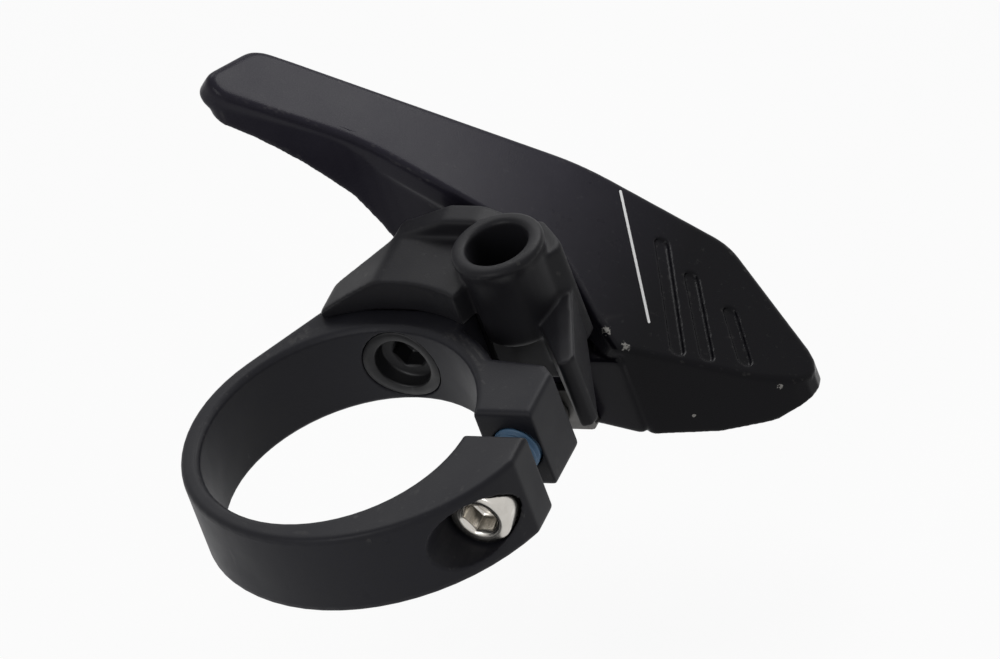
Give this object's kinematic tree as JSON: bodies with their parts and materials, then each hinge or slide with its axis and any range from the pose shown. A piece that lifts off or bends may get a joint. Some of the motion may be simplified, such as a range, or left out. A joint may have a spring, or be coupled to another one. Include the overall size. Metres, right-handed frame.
{
  "type": "dropper post remote lever",
  "caption": "Compact thumb lever on a split band clamp: the ring grips the handlebar, a bracket carries the cable port, and a sprung forged lever turns behind it.",
  "frame": {"origin": "on the handlebar's axis, at the middle of the clamp band's width", "axes": "+Z along the handlebar towards the mouth of the cable port; +Y from the handlebar's centre through the bracket screw towards the lever; +X towards the clamp bolt and the thumb paddle"},
  "size_m": [0.0412, 0.0472, 0.036],
  "materials": {
    "anodised_black": "black anodised, satin",
    "lever_black": "black anodised, fine satin",
    "stainless_steel": "plain stainless steel",
    "black_steel": "black oxide",
    "rubber_shield": "matte moulded rubber"
  },
  "bodies": {
    "mount": {"clamp_band": "anodised_black", "clamp_bolt": "stainless_steel", "bracket": "anodised_black", "bracket_screw": "black_steel", "pivot_bolt": "black_steel", "pivot_washer": "stainless_steel", "bearing_spacer": "stainless_steel", "bearing_1_inner_race": "stainless_steel", "bearing_1_ball_cage": "stainless_steel", "bearing_2_inner_race": "stainless_steel", "bearing_2_ball_cage": "stainless_steel", "return_spring": "stainless_steel"},
    "lever_body": {"lever": "lever_black", "bearing_1_outer_race": "stainless_steel", "bearing_1_front_shield": "rubber_shield", "bearing_1_back_shield": "rubber_shield", "bearing_2_outer_race": "stainless_steel", "bearing_2_front_shield": "rubber_shield", "bearing_2_back_shield": "rubber_shield", "bearing_circlip": "black_steel", "cable_anchor_screw": "stainless_steel", "cable_anchor_plate": "stainless_steel"}
  },
  "joints": [
    {"name": "lever_pivot", "type": "hinge", "parent": "mount", "child": "lever_body", "pos_m": [0.0025, 0.0239, -0.00425], "axis": [0, 1, 0], "range_deg": [0, 32], "stiffness_Nm_per_rad": 0.12, "springref_deg": -34.38}
  ]
}
